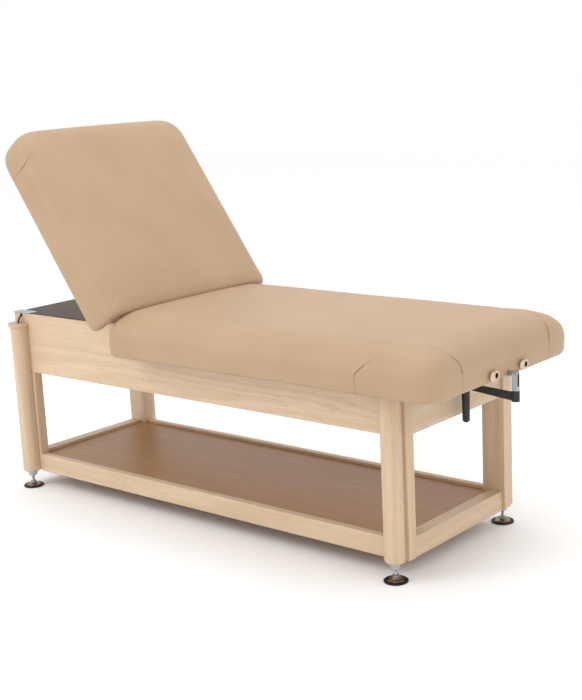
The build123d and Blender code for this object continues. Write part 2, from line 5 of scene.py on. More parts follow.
import bmesh
import bpy
import numpy as np
from mathutils import Matrix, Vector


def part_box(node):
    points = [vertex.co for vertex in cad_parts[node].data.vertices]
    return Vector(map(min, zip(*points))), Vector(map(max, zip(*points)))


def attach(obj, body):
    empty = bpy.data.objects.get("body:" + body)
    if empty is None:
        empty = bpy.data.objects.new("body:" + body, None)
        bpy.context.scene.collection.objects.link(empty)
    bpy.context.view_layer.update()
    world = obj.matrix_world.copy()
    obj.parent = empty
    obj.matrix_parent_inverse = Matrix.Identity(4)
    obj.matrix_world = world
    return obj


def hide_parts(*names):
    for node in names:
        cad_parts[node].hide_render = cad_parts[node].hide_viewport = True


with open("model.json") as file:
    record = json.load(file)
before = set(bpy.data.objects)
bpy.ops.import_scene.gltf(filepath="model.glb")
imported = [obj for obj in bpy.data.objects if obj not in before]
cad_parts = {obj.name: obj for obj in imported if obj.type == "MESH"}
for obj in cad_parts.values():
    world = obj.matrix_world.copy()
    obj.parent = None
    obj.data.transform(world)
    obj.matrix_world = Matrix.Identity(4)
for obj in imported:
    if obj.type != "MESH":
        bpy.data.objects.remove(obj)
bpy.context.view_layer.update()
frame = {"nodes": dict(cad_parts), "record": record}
nodes = frame["nodes"]
joints = {joint["name"]: joint for joint in frame["record"]["behaviour"]["joints"]}
corners = ["head_near", "head_far", "foot_near", "foot_far"]
mm = 0.001
print("frame loaded:", len(nodes), "nodes")


viewpoint = {
    "place": (2.7942, -3.1108, 1.4632),
    "turn": math.radians(40.41),  # to the left of straight along the table's width
    "tilt": math.radians(-12.48),
    "roll": math.radians(-2.74),
    "lens": 80.13,
    "shift": (-0.0144, 0.0017),
}


def aimCamera(settings):
    # the view line is turned about Z, then tilted about its own side, then rolled about itself
    turn, tilt, roll = settings["turn"], settings["tilt"], settings["roll"]
    forward = np.array([-math.sin(turn) * math.cos(tilt), math.cos(turn) * math.cos(tilt), math.sin(tilt)])
    side = np.array([math.cos(turn), math.sin(turn), 0.0])
    up = np.cross(side, forward)
    sideRolled = math.cos(roll) * side + math.sin(roll) * up
    upRolled = math.cos(roll) * up - math.sin(roll) * side
    data = bpy.data.cameras.new("camera")
    data.sensor_fit = "HORIZONTAL"
    data.sensor_width = 36
    data.lens = settings["lens"]
    data.shift_x, data.shift_y = settings["shift"]
    data.clip_end = 60
    camera = bpy.data.objects.new("camera", data)
    bpy.context.scene.collection.objects.link(camera)
    matrix = np.eye(4)
    matrix[:3, 0], matrix[:3, 1], matrix[:3, 2] = sideRolled, upRolled, -forward
    matrix[:3, 3] = settings["place"]
    camera.matrix_world = Matrix(matrix.tolist())
    bpy.context.scene.camera = camera


lamps = {
    "key": {"place": (-1.6, -3.6, 3.6), "aim": (0, 0, 0.6), "size": 2.6, "power": 60},
    "right": {"place": (4.2, -0.4, 2.4), "aim": (0, 0, 0.5), "size": 2.4, "power": 12},
    "above": {"place": (0.2, 0.6, 4.2), "aim": (0, 0, 0.4), "size": 3.4, "power": 40},
}


def addLamp(name, settings):
    data = bpy.data.lights.new(name, "AREA")
    data.shape = "DISK"
    data.size = settings["size"]
    data.energy = settings["power"]
    lamp = bpy.data.objects.new(name, data)
    bpy.context.scene.collection.objects.link(lamp)
    lamp.location = settings["place"]
    line = np.array(settings["aim"]) - np.array(settings["place"])
    flat = math.hypot(line[0], line[1])
    lamp.rotation_euler = (math.atan2(flat, -line[2]), 0, math.atan2(-line[0], line[1]))


aimCamera(viewpoint)
for lampName, lampSettings in lamps.items():
    addLamp(lampName, lampSettings)
world = bpy.data.worlds.new("studio")
world.use_nodes = True
world.node_tree.nodes["Background"].inputs["Color"].default_value = (1, 1, 1, 1)
world.node_tree.nodes["Background"].inputs["Strength"].default_value = 1.0
bpy.context.scene.world = world
bpy.context.scene.view_settings.view_transform = "Standard"
print("camera and lights set")


def makePiece(name, points, faces, angle=40):
    # points and faces become a closed mesh with its doubles merged and its faces outwards
    mesh = bpy.data.meshes.new(name)
    mesh.from_pydata(points.reshape(-1, 3).tolist(), [], faces.tolist())
    shell = bmesh.new()
    shell.from_mesh(mesh)
    bmesh.ops.remove_doubles(shell, verts=shell.verts, dist=1e-6)
    bmesh.ops.dissolve_degenerate(shell, edges=shell.edges, dist=1e-7)
    bmesh.ops.recalc_face_normals(shell, faces=shell.faces)
    shell.to_mesh(mesh)
    shell.free()
    mesh.shade_smooth()
    mesh.set_sharp_from_angle(angle=math.radians(angle))
    piece = bpy.data.objects.new(name, mesh)
    bpy.context.scene.collection.objects.link(piece)
    return piece


def gridFaces(rows, columns, wrap=False):
    # one quad between each pair of neighbouring rows and columns, numbered row by row
    row = np.arange(rows - 1)[:, None]
    column = np.arange(columns if wrap else columns - 1)[None, :]
    beside = (column + 1) % columns
    first = row * columns + column
    second = row * columns + beside
    return np.stack([first, second, second + columns, first + columns], -1).reshape(-1, 4)


def turned(name, profile, centre, sides=64, ripple=None, angle=40):
    # a profile of (radius, height) pairs carried once round a vertical axis; ripple scales the radius
    profile = np.array(profile, float)
    around = np.linspace(0, 2 * math.pi, sides, endpoint=False)
    radius = profile[:, 0][:, None] * np.ones(sides)
    if ripple is not None:
        radius = ripple(radius, profile[:, 1][:, None], around[None, :])
    height = profile[:, 1][:, None] * np.ones(sides)
    points = np.stack([radius * np.cos(around), radius * np.sin(around), height], -1)
    return makePiece(name, points + np.array(centre), gridFaces(len(profile), sides, wrap=True), angle)


def tubeAlong(name, path, radius, sides=12):
    # a circle carried along a path, square to it, its first spoke kept level
    ahead = np.gradient(path, axis=0)
    ahead /= np.linalg.norm(ahead, axis=1, keepdims=True)
    spoke = np.cross(ahead, np.array([0.31, 0.17, 0.93]))
    spoke /= np.linalg.norm(spoke, axis=1, keepdims=True)
    other = np.cross(ahead, spoke)
    around = np.linspace(0, 2 * math.pi, sides, endpoint=False)
    taper = np.minimum(1, np.minimum(np.arange(len(path)), np.arange(len(path))[::-1]) / 3)
    ring = (radius * taper)[:, None, None] * (
        np.cos(around)[None, :, None] * spoke[:, None] + np.sin(around)[None, :, None] * other[:, None]
    )
    return makePiece(name, path[:, None] + ring, gridFaces(len(path), sides, wrap=True))


def dress(piece, material, body):
    piece.data.materials.clear()
    piece.data.materials.append(material)
    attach(piece, body)


def toLinear(red, green, blue):
    # each channel from 0-255 in sRGB to linear light, by the standard's curve
    channels = (red, green, blue)
    return tuple(((c / 255 + 0.055) / 1.055) ** 2.4 if c > 10 else c / 3294 for c in channels) + (1,)


def newMaterial(name):
    material = bpy.data.materials.new(name)
    material.use_nodes = True
    tree = material.node_tree
    shader = tree.nodes["Principled BSDF"]
    return material, tree, shader


def addNode(tree, kind, **values):
    node = tree.nodes.new(kind)
    for key, value in values.items():
        if hasattr(node, key):
            setattr(node, key, value)
        else:
            node.inputs[key.replace("_", " ")].default_value = value
    return node


def stretchedNoise(tree, source, stretch, scale, detail=2.0, roughness=0.5, distortion=0.0):
    # noise read through a mapping that stretches it along the grain
    mapping = addNode(tree, "ShaderNodeMapping")
    mapping.inputs["Scale"].default_value = stretch
    tree.links.new(source, mapping.inputs["Vector"])
    noise = addNode(tree, "ShaderNodeTexNoise")
    noise.inputs["Scale"].default_value = scale
    noise.inputs["Detail"].default_value = detail
    noise.inputs["Roughness"].default_value = roughness
    noise.inputs["Distortion"].default_value = distortion
    tree.links.new(mapping.outputs["Vector"], noise.inputs["Vector"])
    return noise.outputs["Fac"]


def rampBetween(tree, source, low, high):
    # 0 below low and 1 above high, smooth between
    ramp = addNode(tree, "ShaderNodeMapRange", interpolation_type="SMOOTHSTEP")
    ramp.inputs["From Min"].default_value = low
    ramp.inputs["From Max"].default_value = high
    tree.links.new(source, ramp.inputs["Value"])
    return ramp.outputs["Result"]


def calculate(tree, operation, first, second=None):
    node = addNode(tree, "ShaderNodeMath", operation=operation)
    for socket, value in zip(node.inputs, (first, second)):
        if isinstance(value, (int, float)):
            socket.default_value = value
        elif value is not None:
            tree.links.new(value, socket)
    return node.outputs["Value"]


def mixColours(tree, factor, first, second, blend="MIX"):
    node = addNode(tree, "ShaderNodeMix", data_type="RGBA", blend_type=blend)
    for socket, value in ((node.inputs[0], factor), (node.inputs[6], first), (node.inputs[7], second)):
        if isinstance(value, (int, float, tuple)):
            socket.default_value = value
        else:
            tree.links.new(value, socket)
    return node.outputs[2]


def addBump(tree, shader, height, distance, strength=1.0, under=None):
    bump = addNode(tree, "ShaderNodeBump")
    bump.inputs["Strength"].default_value = strength
    bump.inputs["Distance"].default_value = distance
    tree.links.new(height, bump.inputs["Height"])
    if under is not None:
        tree.links.new(under, bump.inputs["Normal"])
    tree.links.new(bump.outputs["Normal"], shader.inputs["Normal"])
    return bump.outputs["Normal"]


maple = {
    "pale": (212, 187, 158), "dark": (198, 169, 137), "fibre": (178, 146, 112), "end": (178, 146, 112),
    "figure": 0.55, "fibres": 0.45, "flecks": 0.5, "roughness": 0.45, "coat": 0.12,
}
shelfPly = {
    "pale": (168, 122, 72), "dark": (152, 106, 58), "fibre": (130, 88, 46), "end": (140, 100, 60),
    "figure": 0.4, "fibres": 0.3, "flecks": 0.2, "roughness": 0.42, "coat": 0.12,
}
innerPly = {
    "pale": (204, 176, 140), "dark": (186, 154, 114), "fibre": (162, 128, 90), "end": (150, 114, 80),
    "figure": 0.5, "fibres": 0.4, "flecks": 0.3, "roughness": 0.6, "coat": 0.0,
}


def woodMaterial(name, grain, looks):
    # broad growth figure as the sine of stretched noise, fine fibres and short flecks on it,
    # darker where a face cuts across the grain
    material, tree, shader = newMaterial(name)
    place = addNode(tree, "ShaderNodeTexCoord").outputs["Object"]
    along = ["x", "y", "z"].index(grain)

    def stretch(across, lengthwise):
        return tuple(lengthwise if axis == along else across for axis in range(3))

    broad = stretchedNoise(tree, place, stretch(9, 0.75), 1.0, 1.5, 0.4, 0.25)
    figure = calculate(tree, "SINE", calculate(tree, "MULTIPLY", broad, 44.0))
    figure = rampBetween(tree, figure, -0.9, 1.0)
    tone = stretchedNoise(tree, place, stretch(3.2, 0.5), 1.0, 1.0)
    fibres = stretchedNoise(tree, place, stretch(420, 9), 1.0, 3.0, 0.6)
    flecks = rampBetween(tree, stretchedNoise(tree, place, stretch(300, 34), 1.0, 1.0), 0.64, 0.74)
    pale, dark, fibre, end = (toLinear(*looks[key]) for key in ("pale", "dark", "fibre", "end"))
    colour = mixColours(tree, calculate(tree, "MULTIPLY", figure, looks["figure"]), pale, dark)
    broadTone = calculate(tree, "MULTIPLY", rampBetween(tree, tone, 0.35, 0.7), 0.45)
    colour = mixColours(tree, broadTone, colour, dark)
    fine = calculate(tree, "MULTIPLY", rampBetween(tree, fibres, 0.45, 0.75), looks["fibres"])
    colour = mixColours(tree, fine, colour, fibre)
    colour = mixColours(tree, calculate(tree, "MULTIPLY", flecks, looks["flecks"]), colour, fibre)
    facing = addNode(tree, "ShaderNodeSeparateXYZ")
    tree.links.new(addNode(tree, "ShaderNodeTexCoord").outputs["Normal"], facing.inputs[0])
    cut = rampBetween(tree, calculate(tree, "ABSOLUTE", facing.outputs[along]), 0.75, 0.95)
    colour = mixColours(tree, calculate(tree, "MULTIPLY", cut, 0.6), colour, end)
    tree.links.new(colour, shader.inputs["Base Color"])
    rough = addNode(tree, "ShaderNodeMapRange")
    rough.inputs["To Min"].default_value = looks["roughness"] - 0.05
    rough.inputs["To Max"].default_value = looks["roughness"] + 0.1
    tree.links.new(fibres, rough.inputs["Value"])
    tree.links.new(rough.outputs["Result"], shader.inputs["Roughness"])
    shader.inputs["Coat Weight"].default_value = looks["coat"]
    shader.inputs["Coat Roughness"].default_value = 0.3
    addBump(tree, shader, fibres, 0.00012, 0.6)
    return material


vinyl = {
    "colour": (180, 151, 120), "deeper": (175, 146, 115), "seam": (122, 95, 70),
    "roughness": 0.5, "grain": 1100, "grainDepth": 0.00018, "seamHalf": 0.0011,
}


def vinylMaterial(name):
    # a fine pebbled grain from cells and noise, with painted shade darkening its creases; near zero of the
    # seam attribute it darkens and dips
    material, tree, shader = newMaterial(name)
    place = addNode(tree, "ShaderNodeTexCoord").outputs["Object"]
    mottle = stretchedNoise(tree, place, (1, 1, 1), 5, 2.0)
    fine = stretchedNoise(tree, place, (1, 1, 1), 240, 2.0)
    colour = mixColours(
        tree, rampBetween(tree, mottle, 0.3, 0.7), toLinear(*vinyl["colour"]), toLinear(*vinyl["deeper"])
    )
    cells = addNode(tree, "ShaderNodeTexVoronoi", feature="SMOOTH_F1")
    cells.inputs["Scale"].default_value = vinyl["grain"]
    tree.links.new(place, cells.inputs["Vector"])
    creases = rampBetween(tree, cells.outputs["Distance"], 0.25, 0.65)
    # painted shade: the cells' creases are darkened a tenth of the way towards the seam colour
    colour = mixColours(
        tree, calculate(tree, "MULTIPLY", creases, 0.10), colour, toLinear(*vinyl["seam"])
    )
    seam = addNode(tree, "ShaderNodeAttribute", attribute_name="seam").outputs["Fac"]
    away = calculate(tree, "ABSOLUTE", seam)
    line = calculate(tree, "SUBTRACT", 1.0, rampBetween(tree, away, 0.0, vinyl["seamHalf"]))
    colour = mixColours(tree, calculate(tree, "MULTIPLY", line, 0.8), colour, toLinear(*vinyl["seam"]))
    tree.links.new(colour, shader.inputs["Base Color"])
    rough = addNode(tree, "ShaderNodeMapRange")
    rough.inputs["To Min"].default_value = vinyl["roughness"] - 0.06
    rough.inputs["To Max"].default_value = vinyl["roughness"] + 0.08
    tree.links.new(fine, rough.inputs["Value"])
    tree.links.new(rough.outputs["Result"], shader.inputs["Roughness"])
    shader.inputs["Specular IOR Level"].default_value = 0.4
    shader.inputs["Sheen Weight"].default_value = 0.06
    grain = addBump(tree, shader, calculate(tree, "ADD", creases, fine), vinyl["grainDepth"], 0.45)
    dip = rampBetween(tree, away, 0.0, 3 * vinyl["seamHalf"])
    addBump(tree, shader, dip, 0.0012, 0.9, under=grain)
    return material


def metalMaterial(name, colour, roughness, scratches=0.08):
    material, tree, shader = newMaterial(name)
    place = addNode(tree, "ShaderNodeTexCoord").outputs["Object"]
    fine = stretchedNoise(tree, place, (1, 1, 6), 180, 3.0)
    broad = stretchedNoise(tree, place, (1, 1, 1), 22, 2.0)
    base = toLinear(*colour)
    darker = tuple(c * 0.86 for c in base[:3]) + (1,)
    mixed = mixColours(tree, rampBetween(tree, broad, 0.35, 0.7), base, darker)
    tree.links.new(mixed, shader.inputs["Base Color"])
    rough = addNode(tree, "ShaderNodeMapRange")
    rough.inputs["To Min"].default_value = max(0.03, roughness - scratches)
    rough.inputs["To Max"].default_value = roughness + scratches
    tree.links.new(fine, rough.inputs["Value"])
    tree.links.new(rough.outputs["Result"], shader.inputs["Roughness"])
    shader.inputs["Metallic"].default_value = 1
    addBump(tree, shader, fine, 0.00004, 0.4)
    return material


def mouldedMaterial(name, colour, roughness, specular=0.5, grain=600, depth=0.0001):
    # dull moulded surface: slight mottling and a fine pebble bump
    material, tree, shader = newMaterial(name)
    place = addNode(tree, "ShaderNodeTexCoord").outputs["Object"]
    fine = stretchedNoise(tree, place, (1, 1, 1), grain, 2.0)
    broad = stretchedNoise(tree, place, (1, 1, 1), 30, 2.0)
    base = toLinear(*colour)
    lighter = tuple(min(1.0, c * 1.25 + 0.002) for c in base[:3]) + (1,)
    mixed = mixColours(tree, rampBetween(tree, broad, 0.4, 0.75), base, lighter)
    tree.links.new(mixed, shader.inputs["Base Color"])
    rough = addNode(tree, "ShaderNodeMapRange")
    rough.inputs["To Min"].default_value = roughness - 0.06
    rough.inputs["To Max"].default_value = roughness + 0.1
    tree.links.new(fine, rough.inputs["Value"])
    tree.links.new(rough.outputs["Result"], shader.inputs["Roughness"])
    shader.inputs["Specular IOR Level"].default_value = specular
    addBump(tree, shader, fine, depth, 0.5)
    return material


materials = {
    "mapleX": woodMaterial("mapleX", "x", maple),
    "mapleY": woodMaterial("mapleY", "y", maple),
    "mapleZ": woodMaterial("mapleZ", "z", maple),
    "shelf": woodMaterial("shelfPlywood", "x", shelfPly),
    "ply": woodMaterial("plywood", "x", innerPly),
    "vinyl": vinylMaterial("beigeVinyl"),
    "deck": mouldedMaterial("darkHardboard", (72, 59, 48), 0.5, 0.25, 900, 0.00005),
    "zinc": metalMaterial("zincPlate", (172, 173, 176), 0.26),
    "chrome": metalMaterial("chrome", (186, 187, 190), 0.1, 0.03),
    "bronze": metalMaterial("pressedSteel", (150, 128, 104), 0.34),
    "black": mouldedMaterial("blackPlastic", (24, 24, 26), 0.42),
    "rubber": mouldedMaterial("blackRubber", (14, 14, 14), 0.55, 0.4),
    "hose": mouldedMaterial("hoseRubber", (18, 17, 17), 0.4, 0.5),
    "plate": mouldedMaterial("paintedPlate", (198, 176, 150), 0.35, 0.5, 300, 0.00003),
    "thread": mouldedMaterial("seamThread", (118, 92, 68), 0.6, 0.3),
    # painted shade: a dark brown standing in for the shade inside the headrest sockets' holes
    "dark": mouldedMaterial("paintedBoreShade", (60, 48, 40), 0.6, 0.3),
}
print("materials made:", len(materials))

nodeFinish = {
    "mapleX": ("shelf_rail_near", "shelf_rail_far", "apron_near", "apron_far"),
    "mapleY": ("shelf_rail_head", "shelf_rail_foot", "apron_head", "apron_foot", "cross_rail_"),
    "mapleZ": ("post_", "column_"),
    "shelf": ("shelf_board",),
    "ply": ("seat_board", "seat_rim_", "back_board", "back_rim_"),
    "vinyl": ("seat_cushion", "seat_skirt", "back_cushion"),
    "deck": ("deck_board",),
    "zinc": ("corner_plates", "hinge_leaf_", "strut_bracket_", "crank_link", "crank_shaft", "lift_cylinder_"),
    "chrome": ("lift_rod_", "strut_rod"),
    "black": ("hydraulic_pump", "strut_cylinder", "crank_arm", "crank_grip"),
    "plate": ("headrest_socket_",),
    "hose": ("hoses",),
}
for finishName, prefixes in nodeFinish.items():
    for nodeName, node in nodes.items():
        if nodeName.startswith(prefixes):
            node.data.materials.clear()
            node.data.materials.append(materials[finishName])


def localFrame(origin, along, out):
    return {"origin": np.array(origin, float), "axes": np.array([along, (0, 1, 0), out], float)}


def toLocal(place, points):
    return (np.asarray(points) - place["origin"]) @ place["axes"].T


def toWorld(place, points):
    return points @ place["axes"] + place["origin"]


def localBox(place, node):
    points = np.array([vertex.co for vertex in nodes[node].data.vertices])
    local = toLocal(place, points)
    return local.min(0), local.max(0)


def padLines(low, high, roundLow, roundHigh, step, edgeCount):
    # positions of the grid's lines on one axis: evenly over the core, and by depth through each rounded edge
    edge = np.linspace(1, 0, edgeCount + 1)[:-1]
    coreLow, coreHigh = low + roundLow, high - roundHigh
    core = np.linspace(coreLow, coreHigh, int((coreHigh - coreLow) / step) + 1)
    parts = [(np.full(len(core), 0.0), core)]
    if roundLow > 0:
        parts.insert(0, (-edge, np.full(edgeCount, coreLow)))
    if roundHigh > 0:
        parts.append((edge[::-1], np.full(edgeCount, coreHigh)))
    depth = np.concatenate([part[0] for part in parts])
    place = np.concatenate([part[1] for part in parts])
    return place, depth, np.where(depth < 0, roundLow, roundHigh)


def padGrid(linesX, linesY, profile, corner, crown, halfWidth):
    # a rounded block: the deeper of the two edge depths sets how far out and how far down a point is,
    # level first and then over a quarter superellipse; a second superellipse shares the way out
    # between the two edges where they meet in plan; the crown is a cubic across the width and
    # stops short of the outermost line
    placeX, depthX, reachX = (line[:, None] for line in linesX)
    placeY, depthY, reachY = (line[None, :] for line in linesY)
    a, b = np.abs(depthX), np.abs(depthY)
    shared = np.maximum((a**corner + b**corner) ** (1 / corner), 1e-9)
    outward, fall = profile(np.maximum(a, b))
    x = placeX + np.sign(depthX) * reachX * a / shared * outward
    y = placeY + np.sign(depthY) * reachY * b / shared * outward
    bulge = crown * (1 - np.abs(y / halfWidth) ** 3) * np.ones_like(x)
    height = fall + np.where(outward == 1, 0, bulge)
    return np.stack([x, y, height], -1)


levelShare = 0.35  # of the level stretch's width given as depth to the lines before the turn


def edgeProfile(pad, top):
    # the way out as a share of the plan corner, and the height, for a depth of 0 to 1
    corner, edge, drop, power = pad["planCorner"], pad["edge"], pad["drop"], pad["power"]
    flat = (corner - edge) / corner
    start = levelShare * flat

    def profile(depth):
        angle = np.clip((depth - start) / (1 - start), 0, 1) * math.pi / 2
        level = flat * np.clip(depth / max(start, 1e-6), 0, 1)
        turn = (1 - flat) * np.sin(angle) ** (2 / power)
        return level + turn, top - drop * (1 - np.maximum(np.cos(angle), 0) ** (2 / power))

    return profile


def perimeter(grid):
    # the grid's edge as one loop: along its last column, back over its last row, and so on round
    rows, columns = grid.shape[:2]
    index = np.arange(rows * columns).reshape(rows, columns)
    return np.concatenate([index[0, :-1], index[:-1, -1], index[-1, :0:-1], index[:0:-1, 0]])


# planCorner is the reach of the rounding seen from above, edge and drop its width and height on the
# side; power and corner are the superellipses' exponents; swell is the cloth's furthest move
pads = {
    "seat": {
        "node": "seat_cushion", "skirt": "seat_skirt", "board": "seat_board", "body": "frame",
        "planCorner": 0.110, "edge": 0.108, "drop": 0.070, "power": 2.05, "corner": 3.1,
        "crown": 0.012, "endInset": 0.003, "hingeEdge": 0.026, "tuck": 0.007, "step": 0.0125,
        "edgeCount": 14, "seam": (0.277, 0.173), "seamPower": 1.3, "swell": 0.0025,
    },
    "back": {
        "node": "back_cushion", "skirt": None, "board": "back_board", "body": "back",
        "planCorner": 0.100, "edge": 0.058, "drop": 0.055, "power": 2.1, "corner": 2.3,
        "crown": 0.012, "endInset": 0.0, "hingeEdge": 0.026, "tuck": 0.007, "step": 0.0125,
        "edgeCount": 14, "seam": (0.150, 0.150), "seamPower": 1.6, "swell": 0.0025,
    },
}


tuckSteps = ((0.12, 0.45), (0.45, 0.12), (1.4, 0.0))  # way in, in tucks, and height left of the side
hingeTurns = (30, 60, 90)  # degrees of the quarter circle at the hinge end
hingeInset = 0.55  # of that quarter circle's radius, inwards at its end
hingeShares = (0.4, 0.8)  # of the way from the outer section to the pocket


def buildPad(pad, place):
    low, high = localBox(place, pad["node"])
    if pad["skirt"]:
        low = np.minimum(low, localBox(place, pad["skirt"])[0])
    high[0] -= pad["endInset"]
    boardHigh = localBox(place, pad["board"])[1]
    corner = pad["planCorner"]
    sizes = (pad["step"], pad["edgeCount"])
    linesX = padLines(low[0] + pad["hingeEdge"], high[0], 0, corner, *sizes)
    linesY = padLines(low[1], high[1], corner, corner, *sizes)
    outer = padGrid(linesX, linesY, edgeProfile(pad, high[2]), pad["corner"], pad["crown"], high[1])
    wall = high[1] - boardHigh[1]
    wallEnd = high[0] - boardHigh[0]
    innerX = (linesX[0], linesX[1], linesX[2] - np.where(linesX[1] > 0, wallEnd, 0))
    innerY = (linesY[0], linesY[1], linesY[2] - np.where(linesY[1] != 0, wall, 0))
    ceiling = boardHigh[2] + 0.0004
    inner = padGrid(innerX, innerY, lambda depth: (depth, depth * 0 + ceiling), pad["corner"], 0, high[1])
    inner[:, :, 0] -= np.linspace(pad["hingeEdge"], 0, len(inner))[:, None]
    loop = perimeter(outer)
    outerLoop, innerLoop = outer.reshape(-1, 3)[loop], inner.reshape(-1, 3)[loop]

    # side and foot: a small tuck under the edge, a level underside, and the wall round the board
    bottom = low[2]
    inwards = innerLoop - outerLoop
    inwards[:, 2] = 0
    length = np.linalg.norm(inwards, axis=1, keepdims=True)
    inwards /= np.maximum(length, 1e-9)
    tuck = pad["tuck"]
    edgeHeight = outerLoop[:, 2:3] - bottom
    rows = [
        np.concatenate([(outerLoop + inwards * tuck * step)[:, :2], bottom + edgeHeight * lift], 1)
        for step, lift in tuckSteps
    ]
    rows.append(np.concatenate([innerLoop[:, :2], np.full((len(loop), 1), bottom)], 1))
    rows.append(np.concatenate([innerLoop[:, :2], (innerLoop[:, 2:3] + bottom) / 2], 1))

    # hinge end: the edge turns over a quarter circle onto a flat end
    columns = outer.shape[1]
    section, sectionInner = outer[0], inner[0]
    run = np.gradient(section[:, 1:], axis=0)
    normal = np.stack([run[:, 1], -run[:, 0]], 1) / np.linalg.norm(run, axis=1, keepdims=True)
    radius = pad["hingeEdge"]
    for row, turn in zip(rows[:3], hingeTurns):
        inset = radius * hingeInset * (1 - math.cos(math.radians(turn)))
        row[1:columns - 1, 0] = section[1:-1, 0] - radius * math.sin(math.radians(turn))
        row[1:columns - 1, 1:] = (section[:, 1:] + normal * inset)[1:-1]
    for row, share in zip(rows[3:], hingeShares):
        blend = rows[2][:columns] * (1 - share) + sectionInner * share
        row[1:columns - 1] = blend[1:-1]
        row[1:columns - 1, 0] = rows[2][1:columns - 1, 0]
    for end in (0, columns - 1):
        for row, turn in zip(rows[:3], hingeTurns):
            row[end, 0] = section[end, 0] - radius * math.sin(math.radians(turn))
        for row in rows[3:]:
            row[end, 0] = rows[2][end, 0]

    strip = np.stack(rows)
    count = outer.shape[0] * columns
    points = np.concatenate([outer.reshape(-1, 3), inner.reshape(-1, 3), strip.reshape(-1, 3)])
    faces = [gridFaces(*outer.shape[:2]), gridFaces(*inner.shape[:2])[:, ::-1] + count]
    between = [2 * count + row * len(loop) + np.arange(len(loop)) for row in range(len(rows))]
    rings = [loop, *between, loop + count]
    for first, second in zip(rings[:-1], rings[1:]):
        faces.append(np.stack([first, np.roll(first, -1), np.roll(second, -1), second], -1))
    pinned = np.ones(len(points), bool)
    pinned[:count] = False
    pinned[loop] = True
    shape = {"outer": outer, "linesX": linesX, "linesY": linesY, "count": count, "high": high, "loop": loop}
    return points, np.concatenate(faces), pinned, shape


arcPerCorner = 1.2  # length over the rounded edge, in plan corners


def unrolled(lines, edge):
    # how far over the surface each line lies from the last edge, an edge counted as its quarter round
    depth, place = np.abs(lines[1]), lines[0]
    arc = edge * arcPerCorner
    return (place[-1] - place) + (1 - depth) * arc, (place - place[0]) + (1 - depth) * arc


seamFade = {"from": 16, "over": 16, "least": 0.05}  # degrees off the corner's diagonal
seamBead = {"radius": 0.0007, "samples": 70, "spans": {"side": (0.5, 21), "end": (69, 89.5)}}


def seamField(pad, shape):
    # signed distance from the corner patch's seam, a superellipse about each corner of the free end;
    # it is stretched near the corner's diagonal, where the line fades out
    fromEnd = unrolled(shape["linesX"], pad["planCorner"])[0][:, None]
    toHigh, toLow = unrolled(shape["linesY"], pad["planCorner"])
    fromSide = np.minimum(toHigh, toLow)[None, :]
    alongSeam, acrossSeam = pad["seam"]
    power = pad["seamPower"]
    ratio = ((fromEnd / alongSeam) ** power + (fromSide / acrossSeam) ** power) ** (1 / power)
    distance = (ratio - 1) * np.hypot(fromEnd, fromSide) / np.maximum(ratio, 1e-6)
    angle = np.degrees(np.arctan2(fromSide / acrossSeam, fromEnd / alongSeam))
    away = np.abs(angle - 45) - seamFade["from"]
    shown = np.clip(away / seamFade["over"], seamFade["least"], 1)
    return distance / shown


def seamPath(pad, shape, outer, side, start, end):
    # points of the seam read from the finished surface, between two angles round the corner
    angle = np.radians(np.linspace(start, end, seamBead["samples"]))
    fromEnd = pad["seam"][0] * np.cos(angle) ** (2 / pad["seamPower"])
    fromSide = pad["seam"][1] * np.sin(angle) ** (2 / pad["seamPower"])
    lineEnd = unrolled(shape["linesX"], pad["planCorner"])[0]
    toHigh, toLow = unrolled(shape["linesY"], pad["planCorner"])
    row = np.interp(fromEnd, lineEnd[::-1], np.arange(len(lineEnd))[::-1])
    if side > 0:
        column = np.interp(fromSide, toHigh[::-1], np.arange(len(toHigh))[::-1])
    else:
        column = np.interp(fromSide, toLow, np.arange(len(toLow)))
    r0 = np.clip(row.astype(int), 0, outer.shape[0] - 2)
    c0 = np.clip(column.astype(int), 0, outer.shape[1] - 2)
    r, c = (row - r0)[:, None], (column - c0)[:, None]
    return (
        outer[r0, c0] * (1 - r) * (1 - c) + outer[r0 + 1, c0] * r * (1 - c)
        + outer[r0, c0 + 1] * (1 - r) * c + outer[r0 + 1, c0 + 1] * r * c
    )


clothRun = {"pressure": 4, "frames": 20}


def inflate(piece, pinned, cap):
    # cloth under slight pressure, its rim, sides and underside held; no point moves further than cap
    scene = bpy.context.scene
    before = np.empty(len(piece.data.vertices) * 3)
    piece.data.vertices.foreach_get("co", before)
    before = before.reshape(-1, 3)
    group = piece.vertex_groups.new(name="held")
    group.add(np.flatnonzero(pinned).tolist(), 1.0, "REPLACE")
    cloth = piece.modifiers.new("cloth", "CLOTH")
    cloth.settings.vertex_group_mass = "held"
    cloth.settings.use_pressure = True
    cloth.settings.uniform_pressure_force = clothRun["pressure"]
    cloth.settings.effector_weights.gravity = 0
    for number in range(1, clothRun["frames"] + 1):
        scene.frame_set(number)
    evaluated = piece.evaluated_get(bpy.context.evaluated_depsgraph_get())
    after = np.empty(len(before) * 3)
    evaluated.data.vertices.foreach_get("co", after)
    move = after.reshape(-1, 3) - before
    size = np.linalg.norm(move, axis=1, keepdims=True)
    move *= np.minimum(1, cap / np.maximum(size, 1e-9))
    piece.modifiers.remove(cloth)
    piece.vertex_groups.remove(group)
    scene.frame_set(1)
    piece.data.vertices.foreach_set("co", (before + move).ravel())
    piece.data.update()


